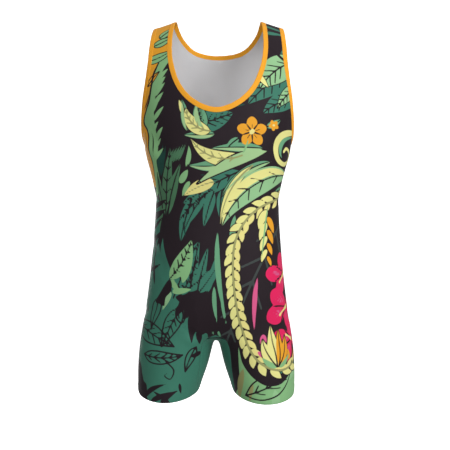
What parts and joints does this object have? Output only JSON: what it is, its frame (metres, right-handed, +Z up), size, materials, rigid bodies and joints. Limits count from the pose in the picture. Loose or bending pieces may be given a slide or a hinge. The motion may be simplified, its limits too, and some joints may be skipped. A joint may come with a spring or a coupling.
{
  "type": "wrestling singlet",
  "caption": "Sleeveless one-piece stretch singlet in worn shape, scooped neck, deep armholes, mid-thigh legs and narrow bound edges.",
  "frame": {"origin": "midway between the two shoulder straps, where a wearer's shoulders hold the garment up", "axes": "+Z up along the garment, +Y towards its back, +X towards the wearer's left side"},
  "size_m": [0.3426, 0.2259, 0.816],
  "materials": {
    "front_print": "printed polyester and elastane knit, matt, aubergine black ground with a green, yellow, orange and pink leaf print",
    "back_print": "printed polyester and elastane knit, matt, teal",
    "binding": "folded orange knit binding, matt"
  },
  "bodies": {
    "root": {"front_panel": "front_print", "back_panel": "back_print", "neck_binding": "binding", "armhole_binding_left": "binding", "armhole_binding_right": "binding"}
  },
  "joints": []
}
